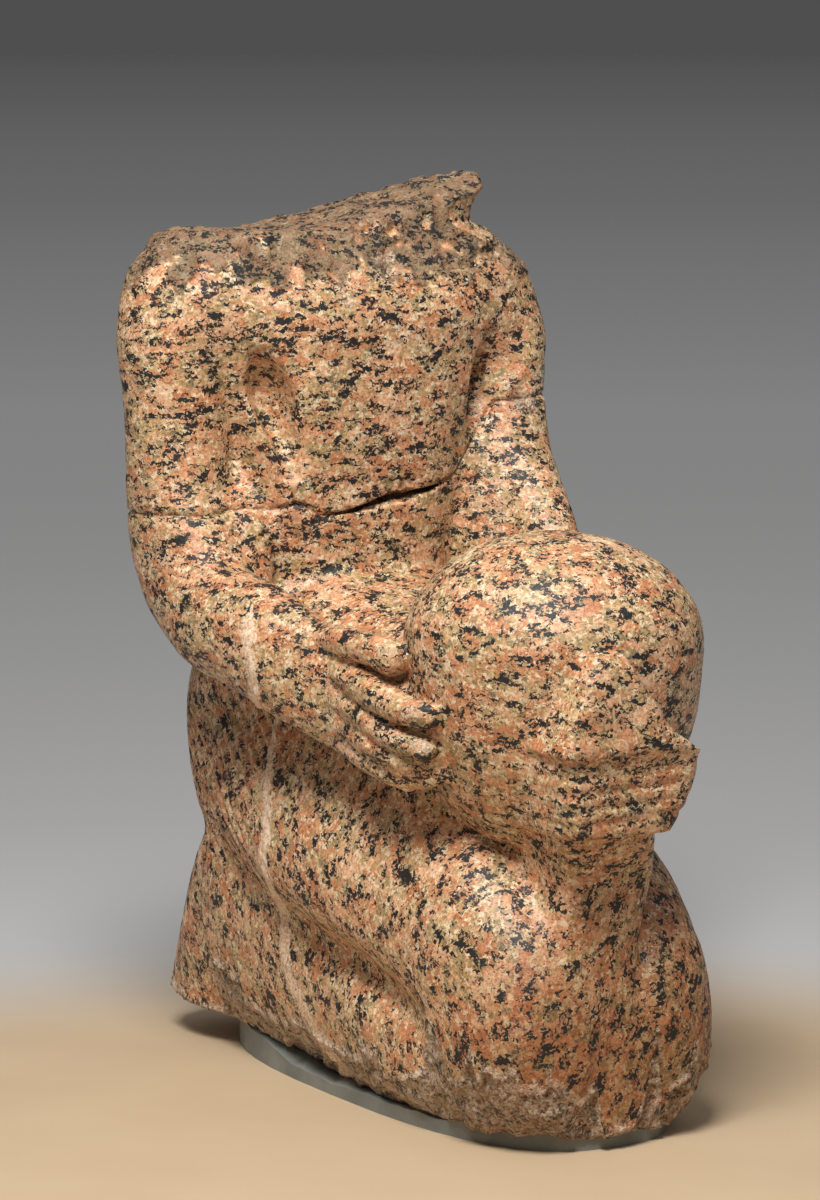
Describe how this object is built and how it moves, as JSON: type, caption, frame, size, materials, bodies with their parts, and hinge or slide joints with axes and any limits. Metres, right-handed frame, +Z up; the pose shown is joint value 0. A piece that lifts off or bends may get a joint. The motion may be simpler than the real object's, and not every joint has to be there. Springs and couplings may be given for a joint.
{
  "type": "egyptian pharaoh statue",
  "caption": "Headless granite figure of a king kneeling on the heels, hands on a large round jar with a banded pillar in front of it, on a low support pad.",
  "frame": {"origin": "on the flat underside of the support pad, on the figure's mid-plane, below the front of the belly", "axes": "+Z up, -Y the way the figure faces, +X the figure's left side"},
  "size_m": [0.3277, 0.4926, 0.6116],
  "materials": {
    "granite": "worn hammered and rubbed skin with a soft gloss, rough on the broken faces",
    "pad": "cast grey mortar, smoothed, matt"
  },
  "bodies": {
    "root": {"statue": "granite", "support_pad": "pad"}
  },
  "joints": []
}
